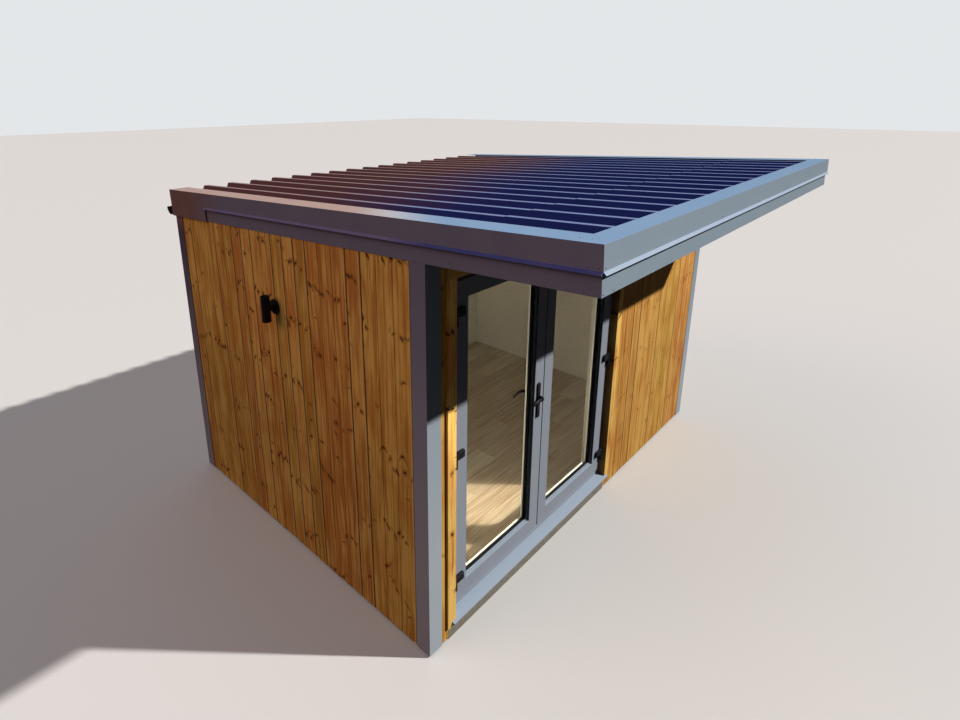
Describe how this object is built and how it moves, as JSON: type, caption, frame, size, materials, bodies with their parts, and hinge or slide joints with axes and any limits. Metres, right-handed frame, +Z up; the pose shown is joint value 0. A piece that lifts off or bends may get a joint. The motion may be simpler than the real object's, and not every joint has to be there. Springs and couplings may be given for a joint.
{
  "type": "garden office pod",
  "caption": "Timber clad garden room with a pent metal roof, a front canopy and a pair of glazed doors.",
  "frame": {"origin": "middle of the footprint at ground level, under the concrete base", "axes": "+Z up, the doors face -Y, the roof falls towards +Y, +X is to the right seen from the doors"},
  "size_m": [3.64, 3.6169, 2.5],
  "materials": {
    "concrete": "rough cast",
    "oak_laminate": "satin laminate boards",
    "wall_lining": "matt painted board",
    "timber_cladding": "oiled softwood boards",
    "timber_trim": "oiled softwood",
    "coated_steel_trim": "satin coated",
    "coated_steel_roof": "satin coated",
    "coated_aluminium": "satin coated",
    "glass": "clear",
    "black_steel": "satin coated",
    "stainless_steel": "satin",
    "black_plastic": "semi gloss"
  },
  "bodies": {
    "building": {"concrete_base": "concrete", "laminate_floor": "oak_laminate", "front_wall_left": "wall_lining", "front_wall_right": "wall_lining", "front_wall_head": "wall_lining", "left_wall": "wall_lining", "right_wall": "wall_lining", "back_wall": "wall_lining", "front_cladding_left": "timber_cladding", "front_cladding_right": "timber_cladding", "front_cladding_head": "timber_cladding", "left_cladding": "timber_cladding", "right_cladding": "timber_cladding", "back_cladding": "timber_cladding", "front_left_corner_trim": "coated_steel_trim", "front_right_corner_trim": "coated_steel_trim", "back_left_corner_trim": "coated_steel_trim", "back_right_corner_trim": "coated_steel_trim", "door_trim_left": "timber_trim", "door_trim_right": "timber_trim", "door_trim_head": "timber_trim", "door_lining": "timber_trim", "door_frame": "coated_aluminium", "door_sill": "coated_aluminium", "roof_deck": "wall_lining", "canopy_soffit": "timber_cladding", "rear_roof_sheet": "coated_steel_roof", "front_roof_sheet": "coated_steel_roof", "front_flashing": "coated_steel_trim", "left_verge_flashing": "coated_steel_trim", "right_verge_flashing": "coated_steel_trim", "left_end_plate": "coated_steel_trim", "right_end_plate": "coated_steel_trim", "front_fascia": "coated_steel_trim", "left_fascia": "coated_steel_trim", "right_fascia": "coated_steel_trim", "back_fascia": "coated_steel_trim", "gutter": "black_plastic", "gutter_brackets": "black_plastic", "wall_light": "black_steel", "hinge_brackets": "black_steel"},
    "left_door": {"left_door": "coated_aluminium", "left_door_glass": "glass", "left_hinge_flags": "black_steel", "handle_plates": "black_steel"},
    "right_door": {"right_door": "coated_aluminium", "right_door_glass": "glass", "right_hinge_flags": "black_steel"},
    "door_lever": {"door_lever": "black_steel"}
  },
  "joints": [
    {"name": "left_door", "type": "hinge", "parent": "building", "child": "left_door", "pos_m": [-1.5385, -1.293, 1.136], "axis": [0, 0, -1], "range_deg": [0, 100]},
    {"name": "right_door", "type": "hinge", "parent": "building", "child": "right_door", "pos_m": [0.1345, -1.293, 1.136], "axis": [0, 0, 1], "range_deg": [0, 100]},
    {"name": "door_lever", "type": "hinge", "parent": "left_door", "child": "door_lever", "pos_m": [-0.7625, -1.281, 1.196], "axis": [0, -1, 0], "range_deg": [0, 40], "stiffness_Nm_per_rad": 2, "springref_deg": -17.19}
  ]
}
